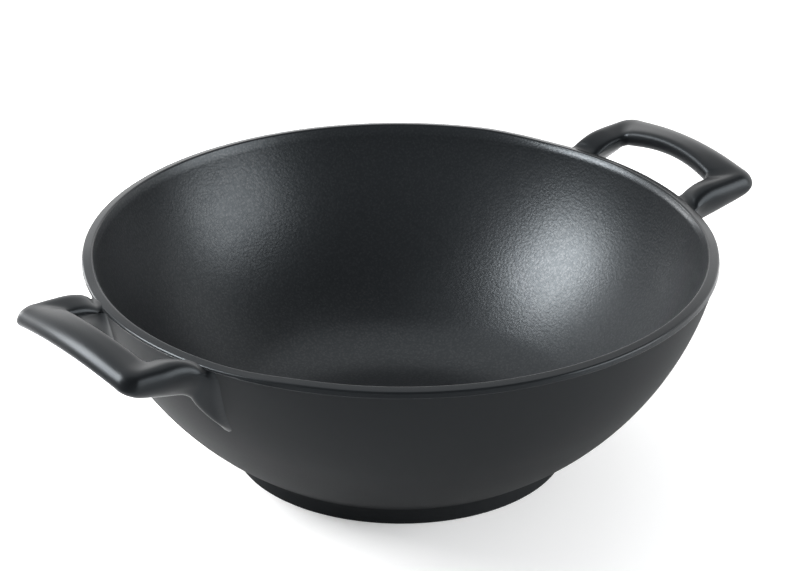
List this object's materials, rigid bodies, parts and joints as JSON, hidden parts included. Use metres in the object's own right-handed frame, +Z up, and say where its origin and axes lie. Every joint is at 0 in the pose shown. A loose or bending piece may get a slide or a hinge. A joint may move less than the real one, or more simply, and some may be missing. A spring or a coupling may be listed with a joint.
{
  "type": "wok",
  "caption": "Round-bottomed cast wok with a wide open bowl, a low foot ring and a loop handle on each side.",
  "frame": {"origin": "on the table plane, under the middle of the bowl", "axes": "+X along the two handles, towards the right handle; +Y across them, away from the viewer; +Z up"},
  "size_m": [0.375, 0.3, 0.1144],
  "materials": {
    "outer_enamel": "smooth satin black enamel over cast iron",
    "rim_enamel": "satin black enamel, worn a little smoother on the land",
    "lining_enamel": "satin black enamel with a fine pebbled grain",
    "handle_enamel": "smooth satin black enamel over cast iron"
  },
  "bodies": {
    "root": {"bowl": "outer_enamel", "rim_band": "rim_enamel", "foot_ring": "outer_enamel", "lining": "lining_enamel", "left_handle": "handle_enamel", "right_handle": "handle_enamel"}
  },
  "joints": []
}
